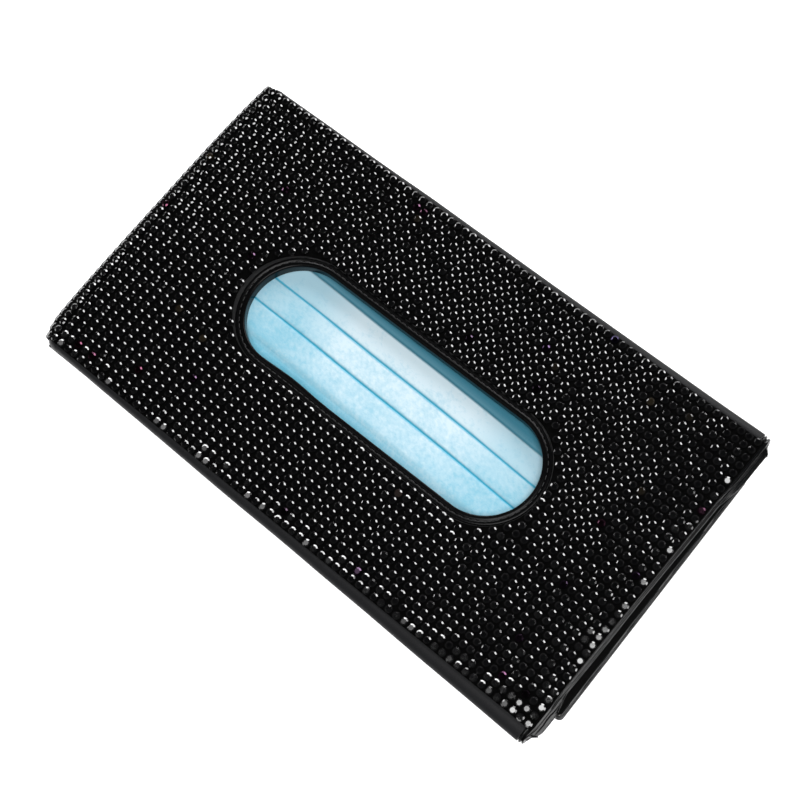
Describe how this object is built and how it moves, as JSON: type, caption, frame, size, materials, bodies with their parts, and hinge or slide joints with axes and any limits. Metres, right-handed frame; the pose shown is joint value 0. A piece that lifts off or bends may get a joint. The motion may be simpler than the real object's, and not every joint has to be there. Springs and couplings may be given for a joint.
{
  "type": "car visor tissue holder",
  "caption": "Flat stone-set case for a car's sun visor, with a slot window, a magnetic closing lip, elastic straps and a pack of folded face masks.",
  "frame": {"origin": "middle of the case's box, on the surface that its two elastic straps lie on", "axes": "+X from the closed spine to the mouth, +Y from the near long edge to the far one, +Z out of the stone-set front"},
  "size_m": [0.2343, 0.1306, 0.0155],
  "materials": {
    "stones": "polished facets",
    "leather_cloth": "fine grain, satin",
    "board": "plain",
    "lining": "matte",
    "magnet": "nickel plate",
    "elastic": "ribbed weave",
    "fleece": "soft nonwoven"
  },
  "bodies": {
    "case": {"stone_sheet": "stones", "front_skin": "leather_cloth", "front_board": "board", "front_lining": "lining", "front_magnet_near": "magnet", "front_magnet_far": "magnet", "window_rim": "leather_cloth", "near_edge_roll": "leather_cloth", "far_edge_roll": "leather_cloth", "mouth_binding": "leather_cloth", "spine": "leather_cloth", "near_gusset": "leather_cloth", "far_gusset": "leather_cloth", "back_skin": "leather_cloth", "back_board": "board", "back_lining": "lining", "spine_strap": "elastic", "mouth_strap": "elastic"},
    "lip": {"lip_skin": "leather_cloth", "lip_board": "board", "lip_lining": "lining", "lip_magnet_near": "magnet", "lip_magnet_far": "magnet"},
    "mask_pack": {"mask_1": "fleece", "mask_2": "fleece", "mask_3": "fleece", "mask_4": "fleece"}
  },
  "joints": [
    {"name": "lip_fold", "type": "hinge", "parent": "case", "child": "lip", "pos_m": [0.0678, 0, 0.0015], "axis": [0, 1, 0], "range_deg": [0, 110]},
    {"name": "pack_slide", "type": "slide", "parent": "case", "child": "mask_pack", "axis": [1, 0, 0], "range_m": [0, 0.227]}
  ],
  "couplings": [
    {"joint": "pack_slide", "follows": "lip_fold", "m_per_rad": 0.118}
  ]
}
